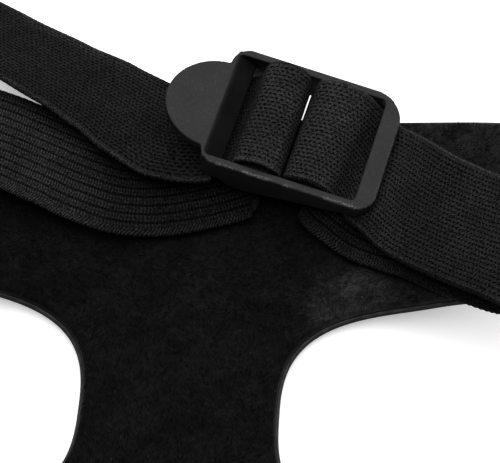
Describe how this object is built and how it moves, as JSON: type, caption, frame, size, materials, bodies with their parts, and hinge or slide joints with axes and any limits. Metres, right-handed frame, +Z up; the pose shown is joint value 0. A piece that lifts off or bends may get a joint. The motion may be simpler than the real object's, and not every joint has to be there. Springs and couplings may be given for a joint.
{
  "type": "face guard",
  "caption": "Moulded face guard with eye holes, a nose ridge and a plush lining, held by an elastic head strap with a ladder-lock buckle.",
  "frame": {"origin": "middle of the flat patch of the forehead's outer face, on the surface that the guard lies on", "axes": "+X across the face, from the strap's sewn end to its adjusting loop; +Y to the top of the forehead; +Z up, into the hollow"},
  "size_m": [0.1866, 0.1563, 0.0868],
  "materials": {
    "shell_plastic": "black, fine matte texture",
    "plush": "black short-pile plush",
    "elastic": "black knitted elastic webbing",
    "buckle_plastic": "black moulded plastic, finely textured"
  },
  "bodies": {
    "root": {"shell": "shell_plastic", "lining": "plush", "strap_left": "elastic", "strap_right": "elastic", "buckle": "buckle_plastic"}
  },
  "joints": []
}
